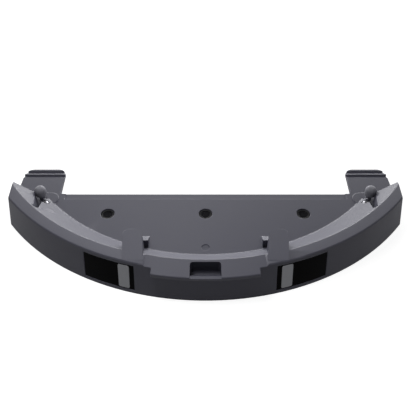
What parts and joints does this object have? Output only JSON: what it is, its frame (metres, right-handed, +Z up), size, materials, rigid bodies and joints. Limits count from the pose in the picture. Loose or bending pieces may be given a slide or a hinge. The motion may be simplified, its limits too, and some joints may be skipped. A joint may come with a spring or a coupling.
{
  "type": "robot vacuum mop pad holder",
  "caption": "Crescent mop pad holder for a round robot vacuum, with a finger grip, water outlets, contact windows and rear tabs.",
  "frame": {"origin": "on the surface the holder stands on, under the middle of its bounding box", "axes": "+X to the holder's right as seen from the grip, +Y from the grip to the tabs, +Z up out of the floor"},
  "size_m": [0.2706, 0.112, 0.0235],
  "materials": {
    "shell": "satin slate grey, fine grain",
    "base": "plain dark grey",
    "screw": "bright zinc",
    "window": "gloss black",
    "bar": "brushed grey",
    "peg": "dull dark grey",
    "seal": "black",
    "filter": "black mesh",
    "grip": "short grey hooks"
  },
  "bodies": {
    "root": {"holder_shell": "shell", "base_plate": "base", "end_screws": "screw", "contact_window_left": "window", "contact_window_right": "window", "contact_bar_left": "bar", "contact_bar_right": "bar", "rubber_peg_left": "peg", "rubber_peg_right": "peg", "outlet_seal_left": "seal", "outlet_seal_centre": "seal", "outlet_seal_right": "seal", "outlet_filter_left": "filter", "outlet_filter_centre": "filter", "outlet_filter_right": "filter", "grip_strip_centre": "grip", "grip_strip_left": "grip", "grip_strip_right": "grip"}
  },
  "joints": []
}
